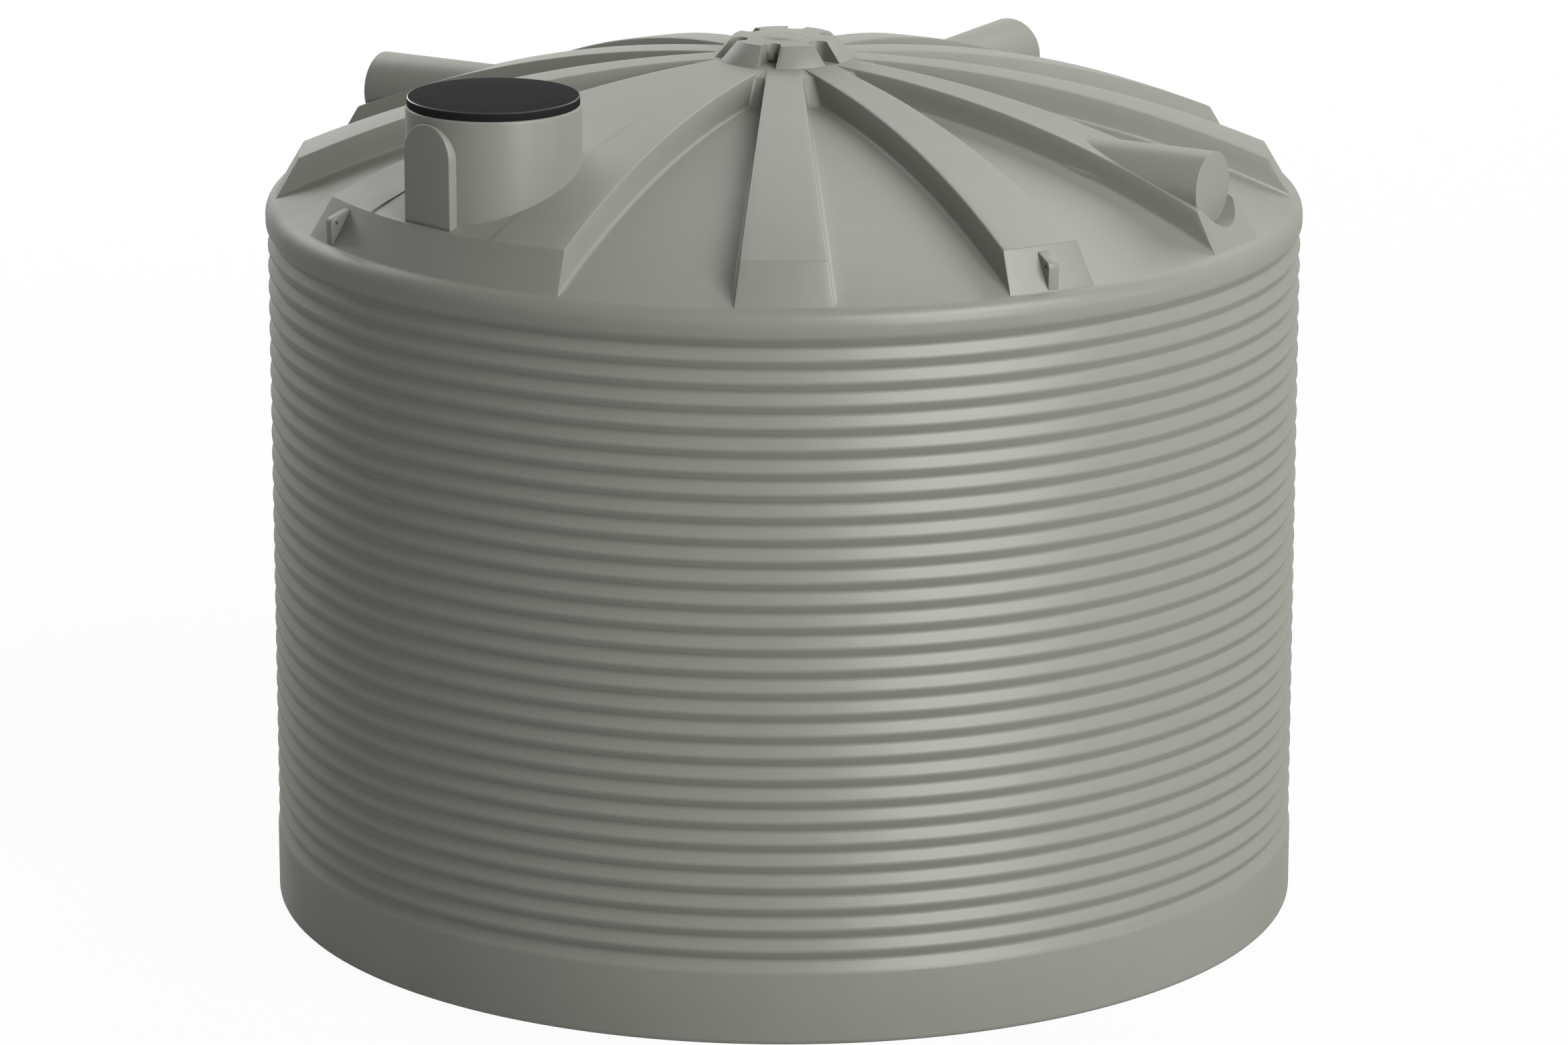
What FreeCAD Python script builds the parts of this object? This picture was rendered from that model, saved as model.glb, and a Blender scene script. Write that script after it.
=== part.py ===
"""Moulded polyethylene water tank: corrugated round wall, ribbed domed roof, hatch and lid.

Millimetres, +Z up, origin at the centre of the base. Every piece is drawn with its radial
direction along +X and then turned to its azimuth: azimuth 0 is the front (-Y), and azimuths
grow towards +X.
"""
import FreeCAD, Part
import math
import os

SHEET = "Sizes"

DRIVING_SIZES = [
    ("tank_radius", 1800, "wall crests and base band, radius"),
    ("wall_segments", 12, "segments of the round wall"),
    ("floor_thickness", 25, "floor plate"),
    ("base_edge_radius", 20, "rounded lower edge of the floor plate"),
    ("band_height", 254.5, "top of the smooth base band above ground"),
    ("groove_count", 29, "ring grooves in the wall"),
    ("groove_pitch", 74.8, "height of one groove"),
    ("groove_depth", 26, "depth of a groove"),
    ("rim_height", 34.8, "smooth rim above the top groove"),
    ("rim_stand", 3, "rim stands proud of the crests"),
    ("shoulder_radius", 65, "rounded edge between rim and roof"),
    ("shell", 10, "moulded wall thickness of the roof"),
    ("dome_radius", 4243, "sphere of the roof panels"),
    ("rib_rise", 94, "rib tops above the panels"),
    ("rib_count", 12, "ribs, evenly spaced"),
    ("rib_width_inner", 116, "rib top width at the hub"),
    ("rib_width_outer", 286, "rib top width at its outer end"),
    ("rib_end_run", 81, "level length of a rib's sloping end"),
    ("rib_draft", 7.2, "lean of a rib's sides, degrees"),
    ("crown_radius", 300, "round crown that the ribs run into"),
    ("valley_foot_radius", 380, "foot of the sloping wall at a valley's inner end"),
    ("valley_drop", 11, "top of that wall below the ribs' tops"),
    ("hub_radius", 240, "hub cap, radius at its foot"),
    ("hub_top_radius", 179, "hub cap, radius at its top"),
    ("hub_height", 68, "hub cap, height at its foot"),
    ("hub_slots", 6, "slots round the hub cap"),
    ("hub_slot_width", 66, "width of a slot"),
    ("hub_slot_end", 130, "radius of a slot's inner end"),
    ("hub_button_radius", 78, "low round button on the hub cap's top"),
    ("hub_button_rise", 7, "height of the button"),
    ("hub_button_edge", 14, "bevelled edge of the button"),
    ("neck_setback", 23, "hatch neck behind the ribs' ends"),
    ("neck_radius", 294, "hatch neck, outer radius"),
    ("neck_wall", 16, "hatch neck, wall"),
    ("neck_height", 369, "top of the neck above the ribs' ends"),
    ("neck_edge", 8, "bevelled top edge of the neck"),
    ("pad_setback", 12.5, "outlet pad's flat face behind the ribs' ends"),
    ("pad_width", 223, "arched outlet pad on the neck"),
    ("pad_top_gap", 24, "top of the pad's arch below the neck's top"),
    ("lid_inset", 5, "lid's edge inside the neck's outer face"),
    ("lid_height", 31, "lid above the neck"),
    ("lid_plate", 9, "thickness of the lid's top"),
    ("lid_edge", 5, "bevelled top edge of the lid"),
    ("lid_collar_gap", 4, "lid's collar inside the neck, clearance"),
    ("lid_collar_wall", 8, "lid's collar, thickness"),
    ("lid_collar_depth", 18, "lid's collar below the neck's top"),
    ("boss_radius", 124.5, "blank outlet boss"),
    ("boss_rise", 51, "boss axis above the ribs' ends"),
    ("boss_setback", 21, "boss's flat face behind the ribs' ends"),
    ("boss_length", 560, "boss, from its face back into the rib"),
    ("lug_thickness", 40, "tie-down lug"),
    ("lug_start", 18, "top of a lug, down the rib's sloping end"),
    ("lug_length", 137, "foot of a lug along the rib's sloping end"),
    ("lug_apex", 62, "outer corner, along the foot from the lug's top"),
    ("lug_stand", 48, "outer corner, out from the rib's sloping end"),
    ("lug_corner", 14, "rounded outer corner of a lug"),
    ("lug_hole_radius", 6, "hole through a lug"),
    ("lug_hole_stand", 24, "hole centre, out from the rib's sloping end"),
]

HATCH_AZIMUTH = -45
PLATFORM_RIBS = (-60, -30)
BOSS_AZIMUTHS = (60, 150, 240)
LUG_AZIMUTHS = (30, 120, 210, 300)
FRONT_TURN = -90
AXIS_Z = FreeCAD.Vector(0, 0, 1)

doc = FreeCAD.newDocument("WaterTank")


def fill_sheet():
    """Spreadsheet with one aliased plain number a row."""
    sheet = doc.addObject("Spreadsheet::Sheet", SHEET)
    for row, (alias, value, note) in enumerate(DRIVING_SIZES, start=1):
        sheet.set(f"A{row}", note)
        sheet.set(f"B{row}", str(value))
        sheet.setAlias(f"B{row}", alias)
    doc.recompute()
    return sheet


sheet = fill_sheet()


def size(alias):
    """A driving size, in millimetres, degrees or pieces."""
    return float(sheet.get(alias))


# Heights and radii that follow from the driving sizes
groove_top = size("band_height") + size("groove_count") * size("groove_pitch")
rim_top = groove_top + size("rim_height")
rim_radius = size("tank_radius") + size("rim_stand")
shoulder_centre = rim_radius - size("shoulder_radius")
dome_inner = size("dome_radius") - size("shoulder_radius")
dome_centre = rim_top - math.sqrt(dome_inner ** 2 - shoulder_centre ** 2)
rib_dome = size("dome_radius") + size("rib_rise")
panel_underside = size("dome_radius") - size("shell")
roof_edge = shoulder_centre * size("dome_radius") / dome_inner
rib_end = roof_edge - size("rib_end_run")
rib_spacing = 360 / size("rib_count")


def dome_height(radius, sphere):
    """Height of a roof sphere above ground at a distance from the axis."""
    return dome_centre + math.sqrt(sphere ** 2 - radius ** 2)


rib_end_height = dome_height(rib_end, rib_dome)
roof_edge_height = dome_height(roof_edge, size("dome_radius"))
hub_seat = dome_height(size("hub_radius"), rib_dome)
crown_rim = dome_height(size("crown_radius"), rib_dome)
hatch_radius = rib_end - size("neck_setback") - size("neck_radius")
neck_bore = size("neck_radius") - size("neck_wall")
neck_top = rib_end_height + size("neck_height")
neck_foot = rib_end_height - size("rib_rise")
lid_radius = size("neck_radius") - size("lid_inset")
lid_top = neck_top + size("lid_height")
pad_face = rib_end - size("pad_setback")
boss_face = rib_end - size("boss_setback")
boss_height = rib_end_height + size("boss_rise")


def point(radius, height):
    """Point of an upright radial section."""
    return FreeCAD.Vector(radius, 0, height)


def line(start, end):
    return Part.LineSegment(start, end).toShape()


def dome_arc(start_radius, end_radius, sphere):
    """Arc of a roof sphere in the radial section."""
    radii = (start_radius, (start_radius + end_radius) / 2, end_radius)
    return Part.Arc(*[point(radius, dome_height(radius, sphere)) for radius in radii]).toShape()


def corner_arc(centre, radius, start_degrees, end_degrees):
    """Rounded corner of a section, by its centre and angles from the radial direction."""
    def on_arc(degrees):
        turn = math.radians(degrees)
        return centre + FreeCAD.Vector(radius * math.cos(turn), 0, radius * math.sin(turn))
    middle = (start_degrees + end_degrees) / 2
    return Part.Arc(on_arc(start_degrees), on_arc(middle), on_arc(end_degrees)).toShape()


def polyline(points):
    return [line(start, end) for start, end in zip(points, points[1:])]


def section(name, edges):
    """Closed flat section that a revolution or an extrusion starts from."""
    feature = doc.addObject("Part::Feature", name)
    feature.Shape = Part.Face(Part.Wire(Part.__sortEdges__(edges)))
    return feature


def revolve(name, profile, angle):
    """Revolution about the tank's axis, half to each side of the section; angle is an expression."""
    feature = doc.addObject("Part::Revolution", name)
    feature.Source = profile
    feature.Axis = AXIS_Z
    feature.Symmetric = True
    feature.Solid = True
    feature.setExpression("Angle", angle)
    return feature


def boolean(kind, name, base, tool):
    """Part::Cut, Part::Fuse or Part::Common of two objects."""
    feature = doc.addObject(f"Part::{kind}", name)
    feature.Base = base
    feature.Tool = tool
    return feature


def turned(name, source, degrees):
    """The source shape turned about the tank's axis."""
    copy = doc.addObject("Part::Compound", name)
    copy.Links = [source]
    copy.Placement = FreeCAD.Placement(FreeCAD.Vector(), FreeCAD.Rotation(AXIS_Z, degrees))
    return copy


sub_parts = []


def sub_part(label, source, azimuth):
    """A finished piece: the source turned to its azimuth, with the node's own label."""
    piece = turned(label, source, azimuth + FRONT_TURN)
    piece.Label = label
    sub_parts.append(piece)
    return piece


def floor_plate():
    """Round floor with a rounded lower edge; the wall stands on its rim."""
    rim = size("tank_radius")
    edge = size("base_edge_radius")
    edges = polyline([
        point(rim - edge, 0), point(0, 0), point(0, size("floor_thickness")),
        point(rim, size("floor_thickness")), point(rim, edge)])
    edges.append(corner_arc(point(rim - edge, edge), edge, -90, 0))
    sub_part("floor_plate", revolve("FloorPlate", section("FloorSection", edges), "360"), 0)


def wall():
    """Corrugated wall with its base band, grooves, rim and shoulder, in equal segments."""
    outline = [
        point(roof_edge, size("floor_thickness")),
        point(size("tank_radius"), size("floor_thickness")),
        point(size("tank_radius"), size("band_height")),
    ]
    count = int(size("groove_count"))
    for groove in range(count):
        foot = size("band_height") + groove * size("groove_pitch")
        crest_radius = rim_radius if groove == count - 1 else size("tank_radius")
        outline.append(point(size("tank_radius") - size("groove_depth"), foot + size("groove_pitch") / 2))
        outline.append(point(crest_radius, foot + size("groove_pitch")))
    outline.append(point(rim_radius, rim_top))
    roof_slope = math.degrees(math.acos(roof_edge / size("dome_radius")))
    shoulder = corner_arc(point(shoulder_centre, rim_top), size("shoulder_radius"), 0, roof_slope)
    inside = line(point(roof_edge, roof_edge_height), outline[0])
    profile = section("WallSection", polyline(outline) + [shoulder, inside])
    segment = revolve("WallSegment", profile, f"360 / {SHEET}.wall_segments")
    segments = int(size("wall_segments"))
    for number in range(segments):
        sub_part(f"wall_segment_{number + 1:02d}", segment, number * 360 / segments)


# Plane of a rib's side: half width against distance from the axis and height
side_lean = math.tan(math.radians(size("rib_draft")))
side_drop = hub_seat - rib_end_height
side_gain = (size("rib_width_outer") - size("rib_width_inner")) / 2 - side_lean * side_drop
side_taper = side_gain / (rib_end - size("hub_radius"))


def rib_half_width(radius, height):
    """Half width of a rib at a distance from the axis and a height."""
    widening = side_taper * (radius - size("hub_radius")) + side_lean * (hub_seat - height)
    return size("rib_width_inner") / 2 + widening


def wedge(name, half_angle, inset):
    """Flat-sided block between the outer sides of two ribs at plus and minus half_angle."""
    inner = 0.9 * size("crown_radius")
    outer = rim_radius + size("shoulder_radius")
    low = roof_edge_height - 2 * size("rib_rise")
    high = dome_centre + rib_dome + size("rib_rise")
    turn = math.radians(half_angle)

    def corner(radius, height, side):
        width = rib_half_width(radius, height) - inset
        along = radius * math.cos(turn) - width * math.sin(turn)
        across = radius * math.sin(turn) + width * math.cos(turn)
        return FreeCAD.Vector(along, side * across, height)

    def outline(height):
        return [corner(inner, height, -1), corner(outer, height, -1),
                corner(outer, height, 1), corner(inner, height, 1)]

    lower = outline(low)
    upper = outline(high)
    rings = [lower, upper]
    for here in range(4):
        after = (here + 1) % 4
        rings.append([lower[here], lower[after], upper[after], upper[here]])
    faces = [Part.Face(Part.makePolygon(ring + ring[:1])) for ring in rings]
    solid = Part.Solid(Part.Shell(faces))
    if solid.Volume < 0:
        solid.reverse()
    feature = doc.addObject("Part::Feature", name)
    feature.Shape = solid
    return feature


def roof_section(name, inner, drop, base_sphere):
    """Radial section of a rib: domed top, sloping end and curved underside, set in by drop."""
    end = rib_end - drop
    edge = roof_edge - drop
    top_sphere = rib_dome - drop
    slope = line(point(end, dome_height(end, top_sphere)), point(edge, roof_edge_height))
    outer = line(point(edge, roof_edge_height), point(edge, dome_height(edge, base_sphere)))
    inner_foot = point(inner, dome_height(inner, base_sphere))
    inner_end = line(inner_foot, point(inner, dome_height(inner, top_sphere)))
    top = dome_arc(inner, end, top_sphere)
    under = dome_arc(edge, inner, base_sphere)
    return section(name, [top, slope, outer, under, inner_end])


sector = f"2 * 360 / {SHEET}.rib_count"
roof_outer = revolve(
    "RoofOuter", roof_section("RoofOuterSection", size("crown_radius"), 0, panel_underside), sector)
roof_inner = revolve(
    "RoofInner",
    roof_section("RoofInnerSection", size("crown_radius") - size("shell"), size("shell"),
                 panel_underside - size("shell")),
    sector)


def channel_blocks(name, half_angle):
    """Outer form and hollow of a roof channel that spans plus and minus half_angle."""
    outer = boolean("Common", f"{name}Outer", roof_outer, wedge(f"{name}Wedge", half_angle, 0))
    hollow_wedge = wedge(f"{name}HollowWedge", half_angle, size("shell"))
    hollow = boolean("Common", f"{name}Hollow", roof_inner, hollow_wedge)
    return outer, hollow


def radial_cylinder(name, radius, start, length):
    """Level cylinder that points away from the tank's axis at the bosses' height."""
    feature = doc.addObject("Part::Cylinder", name)
    feature.setExpression("Radius", radius)
    feature.setExpression("Height", length)
    across = FreeCAD.Rotation(FreeCAD.Vector(0, 1, 0), 90)
    feature.Placement = FreeCAD.Placement(point(start, boss_height), across)
    return feature


def roof_ball(name, radius):
    """Ball under one of the roof's spheres; radius is an expression."""
    feature = doc.addObject("Part::Sphere", name)
    feature.setExpression("Radius", radius)
    feature.Placement.Base = point(0, dome_centre)
    return feature


def ribs():
    """Hollow box ribs; three of them carry a blank outlet boss at their outer end."""
    outer, hollow = channel_blocks("Rib", 0)
    plain = boolean("Cut", "PlainRib", outer, hollow)

    start = boss_face - size("boss_length")
    scoop_length = f"{SHEET}.rib_end_run + {SHEET}.boss_setback + {SHEET}.shoulder_radius"
    barrel = radial_cylinder("BossBarrel", f"{SHEET}.boss_radius", start, f"{SHEET}.boss_length")
    under_ball = roof_ball("UnderBall", f"{SHEET}.dome_radius - {SHEET}.shell")
    boss = boolean("Cut", "Boss", barrel, under_ball)
    boss_hollow = radial_cylinder(
        "BossHollow", f"{SHEET}.boss_radius - {SHEET}.shell", start, f"{SHEET}.boss_length - {SHEET}.shell")
    scoop = radial_cylinder("Scoop", f"{SHEET}.boss_radius", boss_face, scoop_length)
    scoop_wall = radial_cylinder(
        "ScoopWall", f"{SHEET}.boss_radius + {SHEET}.shell", boss_face - size("shell"),
        f"{scoop_length} + {SHEET}.shell")
    bossed = boolean("Cut", "BossedOuter", boolean("Fuse", "RibAndBoss", outer, boss), scoop)
    bossed_hollow = boolean(
        "Cut", "BossedHollow", boolean("Fuse", "RibAndBossHollow", hollow, boss_hollow), scoop_wall)
    boss_rib = boolean("Cut", "BossRib", bossed, bossed_hollow)

    for number in range(int(size("rib_count"))):
        azimuth = number * rib_spacing
        if azimuth - 360 in PLATFORM_RIBS:
            continue
        source = boss_rib if azimuth in BOSS_AZIMUTHS else plain
        name = "boss_rib" if azimuth in BOSS_AZIMUTHS else "roof_rib"
        sub_part(f"{name}_{azimuth:03.0f}", source, azimuth)


def valley_wall():
    """Sloping wall from a panel up to the crown, as wide as its valley and more."""
    inside = 0.9 * size("crown_radius")
    foot = dome_height(size("valley_foot_radius"), size("dome_radius"))
    top = crown_rim - size("valley_drop")
    edges = polyline([
        point(inside, foot), point(size("valley_foot_radius"), foot), point(size("crown_radius"), top),
        point(inside, top), point(inside, foot)])
    block = doc.addObject("Part::Extrusion", "ValleyWallBlock")
    block.Base = section("ValleyWallSection", edges)
    block.DirMode = "Custom"
    block.Dir = FreeCAD.Vector(0, 1, 0)
    block.Symmetric = True
    block.Solid = True
    block.setExpression("LengthFwd", f"2 * {SHEET}.rib_width_inner")
    core = doc.addObject("Part::Cylinder", "CrownCore")
    core.setExpression("Radius", f"{SHEET}.crown_radius")
    core.setExpression("Height", f"3 * {SHEET}.rib_rise")
    core.Placement.Base = point(0, crown_rim - 2 * size("rib_rise"))
    return boolean("Cut", "ValleyWall", block, core)


def panels():
    """Domed roof panels between the ribs, each with the wall that ends its valley at the crown."""
    inner = size("crown_radius")
    top = size("dome_radius")
    edge_foot = point(roof_edge, dome_height(roof_edge, panel_underside))
    inner_foot = point(inner, dome_height(inner, panel_underside))
    profile = section("PanelSection", [
        dome_arc(inner, roof_edge, top),
        line(point(roof_edge, roof_edge_height), edge_foot),
        dome_arc(roof_edge, inner, panel_underside),
        line(inner_foot, point(inner, dome_height(inner, top))),
    ])
    sheet_patch = revolve("PanelSheet", profile, f"360 / {SHEET}.rib_count")
    patch = boolean("Fuse", "PanelPatch", sheet_patch, valley_wall())
    rib_wedge = wedge("PanelEdgeWedge", 0, 0)
    half = rib_spacing / 2
    one_side = boolean("Cut", "PanelOneSide", patch, turned("PanelEdgeRight", rib_wedge, half))
    panel = boolean("Cut", "Panel", one_side, turned("PanelEdgeLeft", rib_wedge, -half))
    for number in range(int(size("rib_count"))):
        azimuth = (number + 0.5) * rib_spacing
        if azimuth - 360 == HATCH_AZIMUTH:
            continue
        sub_part(f"roof_panel_{azimuth:03.0f}", panel, azimuth)


def crown():
    """Round crown: a flat seat for the hub cap, a sloping rim and a skirt that closes ribs and panels."""
    outer = size("crown_radius")
    inner = outer - size("shell")
    under = crown_rim - size("shell")
    foot = dome_height(outer, panel_underside)
    edges = polyline([
        point(0, hub_seat), point(size("hub_radius"), hub_seat), point(outer, crown_rim), point(outer, foot),
        point(inner, foot), point(inner, under), point(0, under), point(0, hub_seat)])
    sub_part("roof_crown", revolve("Crown", section("CrownSection", edges), "360"), 0)


def hub_cap():
    """Conical hub cap on the crown, with slots round it and a low button on its top."""
    top = hub_seat + size("hub_height")
    button_top = top + size("hub_button_rise")
    edges = polyline([
        point(0, hub_seat), point(size("hub_radius"), hub_seat), point(size("hub_top_radius"), top),
        point(size("hub_button_radius"), top),
        point(size("hub_button_radius") - size("hub_button_edge"), button_top),
        point(0, button_top), point(0, hub_seat)])
    cone = revolve("HubCone", section("HubSection", edges), "360")

    base = hub_seat - size("hub_height")
    bar = doc.addObject("Part::Box", "HubSlotBar")
    bar.setExpression("Length", f"{SHEET}.hub_radius")
    bar.setExpression("Width", f"{SHEET}.hub_slot_width")
    bar.setExpression("Height", f"3 * {SHEET}.hub_height")
    round_end = doc.addObject("Part::Cylinder", "HubSlotEnd")
    round_end.setExpression("Radius", f"{SHEET}.hub_slot_width / 2")
    round_end.setExpression("Height", f"3 * {SHEET}.hub_height")
    centre = size("hub_slot_end") + size("hub_slot_width") / 2
    bar.Placement.Base = FreeCAD.Vector(centre, -size("hub_slot_width") / 2, base)
    round_end.Placement.Base = point(centre, base)
    slot = boolean("Fuse", "HubSlot", bar, round_end)
    slots = doc.addObject("Part::Compound", "HubSlots")
    count = int(size("hub_slots"))
    step = 360 / count
    slots.Links = [
        turned(f"HubSlot{number}", slot, (number + 0.5) * step + rib_spacing / 2) for number in range(count)]
    sub_part("hub_cap", boolean("Cut", "HubCap", cone, slots), 0)


def hatch_cylinder(name, radius):
    """Upright cylinder on the hatch's axis, from below the roof to well above the neck."""
    feature = doc.addObject("Part::Cylinder", name)
    feature.setExpression("Radius", radius)
    feature.setExpression("Height", f"2 * ({SHEET}.neck_height + {SHEET}.rib_rise)")
    feature.Placement.Base = point(hatch_radius, neck_foot)
    return feature


def at_hatch(name, profile):
    """Full revolution about the hatch's own upright axis."""
    feature = revolve(name, profile, "360")
    feature.Placement.Base = point(hatch_radius, 0)
    return feature


def hatch():
    """Raised platform that two ribs carry, with the neck, its arched pad and the lid."""
    outer, hollow = channel_blocks("Platform", rib_spacing / 2)
    deck = boolean("Cut", "PlatformShell", outer, hollow)
    hole = hatch_cylinder("HatchHole", f"{SHEET}.neck_radius - {SHEET}.neck_wall")
    sub_part("hatch_platform", boolean("Cut", "Platform", deck, hole), HATCH_AZIMUTH)

    deck_ball = roof_ball("DeckBall", f"{SHEET}.dome_radius + {SHEET}.rib_rise")
    edge = size("neck_edge")
    edges = polyline([
        point(size("neck_radius"), neck_top - edge), point(size("neck_radius"), neck_foot),
        point(neck_bore, neck_foot), point(neck_bore, neck_top), point(size("neck_radius") - edge, neck_top),
        point(size("neck_radius"), neck_top - edge)])
    tube = at_hatch("NeckTube", section("NeckSection", edges))
    sub_part("hatch_neck", boolean("Cut", "Neck", tube, deck_ball), HATCH_AZIMUTH)

    pad_reach = f"{SHEET}.neck_radius + {SHEET}.neck_setback - {SHEET}.pad_setback"
    block = doc.addObject("Part::Box", "PadBlock")
    block.setExpression("Length", pad_reach)
    block.setExpression("Width", f"{SHEET}.pad_width")
    block.setExpression(
        "Height", f"{SHEET}.neck_height - {SHEET}.pad_top_gap - {SHEET}.pad_width / 2 + {SHEET}.rib_rise")
    block.Placement.Base = FreeCAD.Vector(hatch_radius, -size("pad_width") / 2, neck_foot)
    arch = doc.addObject("Part::Cylinder", "PadArch")
    arch.setExpression("Radius", f"{SHEET}.pad_width / 2")
    arch.setExpression("Height", pad_reach)
    arch_centre = neck_top - size("pad_top_gap") - size("pad_width") / 2
    arch.Placement = FreeCAD.Placement(
        point(hatch_radius, arch_centre), FreeCAD.Rotation(FreeCAD.Vector(0, 1, 0), 90))
    arched = boolean("Fuse", "PadForm", block, arch)
    off_neck = boolean("Cut", "PadOffNeck", arched, hatch_cylinder("NeckCore", f"{SHEET}.neck_radius"))
    sub_part("outlet_pad", boolean("Cut", "OutletPad", off_neck, deck_ball), HATCH_AZIMUTH)


def lid():
    """Hatch lid: a shallow cap on the neck with a locating collar inside it."""
    collar = neck_bore - size("lid_collar_gap")
    collar_inner = collar - size("lid_collar_wall")
    collar_foot = neck_top - size("lid_collar_depth")
    edge = size("lid_edge")
    under = lid_top - size("lid_plate")
    edges = polyline([
        point(lid_radius, lid_top - edge), point(lid_radius, neck_top),
        point(collar, neck_top), point(collar, collar_foot), point(collar_inner, collar_foot),
        point(collar_inner, under), point(0, under), point(0, lid_top),
        point(lid_radius - edge, lid_top), point(lid_radius, lid_top - edge)])
    sub_part("hatch_lid", at_hatch("Lid", section("LidSection", edges)), HATCH_AZIMUTH)


def lugs():
    """Three-cornered tie-down lugs on the ribs' sloping ends, each with a hole."""
    end_top = point(rib_end, rib_end_height)
    down = (point(roof_edge, roof_edge_height) - end_top).normalize()
    out = FreeCAD.Vector(-down.z, 0, down.x)

    def on_end(along, stand):
        return end_top + down * along + out * stand

    head = size("lug_start")
    tail = head + size("lug_length")
    apex = on_end(head + size("lug_apex"), size("lug_stand"))
    sunk = -size("shell")
    corners = [on_end(head, 0), apex, on_end(tail, 0), on_end(tail, sunk), on_end(head, sunk)]
    to_head = (corners[0] - apex).normalize()
    to_tail = (corners[2] - apex).normalize()
    half_corner = to_head.getAngle(to_tail) / 2
    corner_run = size("lug_corner") / math.tan(half_corner)
    corner_depth = size("lug_corner") / math.sin(half_corner) - size("lug_corner")
    round_start = apex + to_head * corner_run
    round_end = apex + to_tail * corner_run
    round_middle = apex + (to_head + to_tail).normalize() * corner_depth
    edges = polyline([round_end, corners[2], corners[3], corners[4], corners[0], round_start])
    edges.append(Part.Arc(round_start, round_middle, round_end).toShape())
    plate = doc.addObject("Part::Extrusion", "LugPlate")
    plate.Base = section("LugSection", edges)
    plate.DirMode = "Custom"
    plate.Dir = FreeCAD.Vector(0, 1, 0)
    plate.Symmetric = True
    plate.Solid = True
    plate.setExpression("LengthFwd", f"{SHEET}.lug_thickness")
    seated = boolean("Cut", "LugOnRib", plate, roof_outer)
    hole = doc.addObject("Part::Cylinder", "LugHole")
    hole.setExpression("Radius", f"{SHEET}.lug_hole_radius")
    hole.setExpression("Height", f"2 * {SHEET}.lug_thickness")
    centre = on_end(head + size("lug_apex"), size("lug_hole_stand"))
    hole.Placement = FreeCAD.Placement(
        centre + FreeCAD.Vector(0, size("lug_thickness"), 0), FreeCAD.Rotation(FreeCAD.Vector(1, 0, 0), 90))
    lug = boolean("Cut", "Lug", seated, hole)
    for azimuth in LUG_AZIMUTHS:
        sub_part(f"tie_down_lug_{azimuth:03d}", lug, azimuth)


def write_parts():
    """Check every object, then write one STEP file a piece."""
    doc.recompute()
    for item in doc.Objects:
        if "Invalid" in item.State or "Error" in item.State:
            raise RuntimeError(f"{item.Label} did not build: {item.State}")
    for piece in sub_parts:
        if piece.Shape.isNull() or not piece.Shape.isValid():
            raise RuntimeError(f"{piece.Label} has no valid shape")
    os.makedirs("parts", exist_ok=True)
    for piece in sub_parts:
        piece.Shape.exportStep(f"parts/{piece.Label}.step")
        box = piece.Shape.BoundBox
        print(f"{piece.Label}: {len(piece.Shape.Solids)} solid, {piece.Shape.Volume / 1e6:.2f} litres, "
              f"z {box.ZMin:.1f} to {box.ZMax:.1f}")


floor_plate()
wall()
ribs()
panels()
crown()
hub_cap()
hatch()
lid()
lugs()
write_parts()
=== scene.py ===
"""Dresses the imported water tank: moulded body and ribbed roof, hub, hatch with lid, bosses, lugs.

Metres, +Z up, origin at the centre of the base. Azimuth 0 is the front (-Y), and azimuths grow
towards +X. Each piece is drawn with its radial direction along +X and then turned to its azimuth.
"""
import logging
import math
from dataclasses import dataclass
from enum import Enum
from typing import Sequence

import bmesh
import bpy
from bmesh.types import BMEdge, BMesh, BMFace, BMVert
from mathutils import Matrix, Vector


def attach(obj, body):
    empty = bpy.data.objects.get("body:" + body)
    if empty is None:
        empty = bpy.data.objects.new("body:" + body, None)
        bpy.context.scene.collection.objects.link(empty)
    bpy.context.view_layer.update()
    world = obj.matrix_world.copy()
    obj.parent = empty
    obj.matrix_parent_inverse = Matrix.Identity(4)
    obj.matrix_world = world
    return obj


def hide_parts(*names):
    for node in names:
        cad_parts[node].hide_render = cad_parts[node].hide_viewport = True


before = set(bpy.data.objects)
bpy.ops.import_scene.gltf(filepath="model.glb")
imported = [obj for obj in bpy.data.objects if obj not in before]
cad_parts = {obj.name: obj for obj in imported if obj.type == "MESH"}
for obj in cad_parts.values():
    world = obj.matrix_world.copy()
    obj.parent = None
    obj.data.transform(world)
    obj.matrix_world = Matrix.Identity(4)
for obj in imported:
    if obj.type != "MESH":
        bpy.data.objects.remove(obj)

LOG = logging.getLogger("water_tank")
BODY = "root"
WHITE = (1.0, 1.0, 1.0, 1.0)
SHARP_ANGLE = 35.0
WELD_GAP = 1e-5
SECTOR_WELD_GAP = 2e-5
NEAR = 1e-4
PLACE_DIGITS = 6

Colour = tuple[float, float, float]
Spot = tuple[float, float]
Socket = bpy.types.NodeSocket


class Slot(Enum):
    """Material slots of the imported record."""

    STONE = "tank_stone"
    BLACK = "lid_black"


class Combine(Enum):
    """Ways to combine a piece with closed forms."""

    CUT = "DIFFERENCE"
    JOIN = "UNION"


class Axis(Enum):
    """Axes that a profile is spun about."""

    UPRIGHT = (0.0, 0.0, 1.0)
    RADIAL = (1.0, 0.0, 0.0)


def noise(place: Socket, scale: float, detail: float) -> Socket:
    """Adds a noise to the node tree.

    Args:
        place: Socket with the Object coordinates.
        scale: Scale of the noise.
        detail: Its finer layers.

    Returns:
        The socket with the noise.
    """
    tree = place.id_data
    node = tree.nodes.new("ShaderNodeTexNoise")
    node.inputs["Scale"].default_value = scale
    node.inputs["Detail"].default_value = detail
    tree.links.new(place, node.inputs["Vector"])
    return node.outputs["Fac"]


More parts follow.
